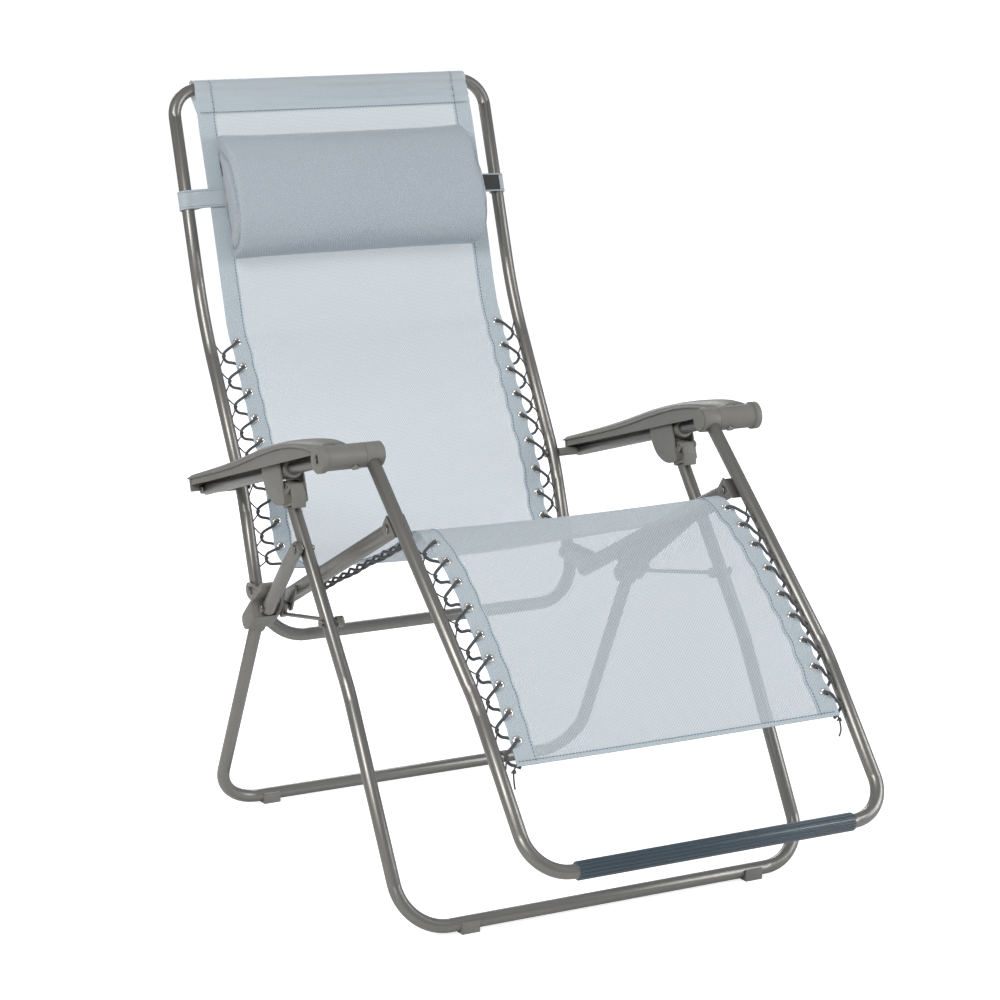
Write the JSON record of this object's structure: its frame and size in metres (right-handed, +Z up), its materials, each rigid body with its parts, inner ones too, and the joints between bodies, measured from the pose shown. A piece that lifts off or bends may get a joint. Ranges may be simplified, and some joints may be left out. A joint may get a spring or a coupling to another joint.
{
  "type": "zero gravity recliner",
  "caption": "Folding tubular recliner with a laced mesh sling, a head pillow, sliding armrests with lock levers, and a leg rest that lifts as the back leans.",
  "frame": {"origin": "on the floor under the middle of the whole object's box", "axes": "+Z up, +X to the right of a person facing the chair, +Y from the leg rest to the back"},
  "size_m": [0.73, 1.2265, 1.1288],
  "materials": {
    "frame_paint": "satin metallic taupe paint",
    "taupe_plastic": "satin moulded plastic",
    "bolt_steel": "zinc-plated rivets and bolts",
    "eyelet_metal": "polished nickel",
    "sling_mesh": "PVC-coated mesh, pale ice blue",
    "pillow_fabric": "PVC-coated mesh, grey blue",
    "elastic_cord": "braided elastic cord",
    "foot_rubber": "ribbed rubber sleeve"
  },
  "bodies": {
    "front_stand": {"front_leg_frame": "frame_paint", "front_feet": "taupe_plastic", "leg_socket_left": "taupe_plastic", "leg_socket_right": "taupe_plastic", "link_bar_left": "frame_paint", "link_bar_right": "frame_paint", "tie_rod_left": "frame_paint", "tie_rod_right": "frame_paint", "stand_bolts": "bolt_steel", "pivot_pins": "bolt_steel", "lever_pins": "bolt_steel"},
    "rear_stand": {"rear_leg_frame": "frame_paint", "rear_feet": "taupe_plastic", "rear_bracket_left": "taupe_plastic", "rear_bracket_right": "taupe_plastic"},
    "seat": {"seat_tube_left": "frame_paint", "seat_tube_right": "frame_paint", "seat_lugs": "frame_paint", "rear_gussets_left": "frame_paint", "rear_gussets_right": "frame_paint", "rear_hinge_rivets": "bolt_steel", "seat_sling": "sling_mesh", "seat_elastic_left": "elastic_cord", "seat_elastic_right": "elastic_cord"},
    "back": {"back_frame": "frame_paint", "back_sling": "sling_mesh", "back_eyelets": "eyelet_metal", "back_lacing_left": "elastic_cord", "back_lacing_right": "elastic_cord", "head_pillow": "pillow_fabric", "pillow_strap_left": "pillow_fabric", "pillow_strap_right": "pillow_fabric", "arm_pivot_bolts": "bolt_steel", "arm_spacers": "taupe_plastic"},
    "leg_rest": {"leg_rest_frame": "frame_paint", "foot_sleeve": "foot_rubber", "leg_sling": "sling_mesh", "leg_eyelets": "eyelet_metal", "leg_lacing_left": "elastic_cord", "leg_lacing_right": "elastic_cord", "front_gussets_left": "frame_paint", "front_gussets_right": "frame_paint", "front_hinge_rivets": "bolt_steel", "frame_cap_left": "taupe_plastic", "frame_cap_right": "taupe_plastic"},
    "arms": {"arm_tube_left": "frame_paint", "arm_tube_right": "frame_paint", "arm_pad_left": "taupe_plastic", "arm_pad_right": "taupe_plastic", "arm_housing_left": "taupe_plastic", "arm_housing_right": "taupe_plastic", "housing_screws": "bolt_steel"},
    "carriages": {"carriage_left": "taupe_plastic", "carriage_right": "taupe_plastic"},
    "lock_left": {"lock_lever_left": "taupe_plastic"},
    "lock_right": {"lock_lever_right": "taupe_plastic"}
  },
  "joints": [
    {"name": "stand_fold", "type": "hinge", "parent": "front_stand", "child": "rear_stand", "pos_m": [0, 0.1485, 0.376], "axis": [-1, 0, 0], "range_deg": [0, 58]},
    {"name": "recline", "type": "hinge", "parent": "front_stand", "child": "seat", "pos_m": [0, 0.1485, 0.376], "axis": [-1, 0, 0], "range_deg": [0, 14]},
    {"name": "back_tilt", "type": "hinge", "parent": "seat", "child": "back", "pos_m": [0, 0.2985, 0.366], "axis": [-1, 0, 0], "range_deg": [0, 20.8]},
    {"name": "leg_rest_lift", "type": "hinge", "parent": "seat", "child": "leg_rest", "pos_m": [0, -0.1835, 0.558], "axis": [-1, 0, 0], "range_deg": [0, 38]},
    {"name": "arm_swing", "type": "hinge", "parent": "back", "child": "arms", "pos_m": [0, 0.3535, 0.521], "axis": [1, 0, 0], "range_deg": [0, 24.7]},
    {"name": "arm_slide", "type": "slide", "parent": "arms", "child": "carriages", "axis": [0, -0.9631, 0.269], "range_m": [0, 0.101]},
    {"name": "lock_left_lever", "type": "hinge", "parent": "front_stand", "child": "lock_left", "pos_m": [-0.333, 0.02569, 0.58505], "axis": [-1, 0, 0], "range_deg": [0, 25]},
    {"name": "lock_right_lever", "type": "hinge", "parent": "front_stand", "child": "lock_right", "pos_m": [0.333, 0.02569, 0.58505], "axis": [-1, 0, 0], "range_deg": [0, 25]}
  ],
  "couplings": [
    {"joint": "back_tilt", "follows": "recline", "ratio": 1.4776},
    {"joint": "leg_rest_lift", "follows": "recline", "ratio": 2.7063},
    {"joint": "arm_swing", "follows": "recline", "ratio": 1.7557},
    {"joint": "arm_slide", "follows": "recline", "m_per_rad": 0.41256}
  ]
}
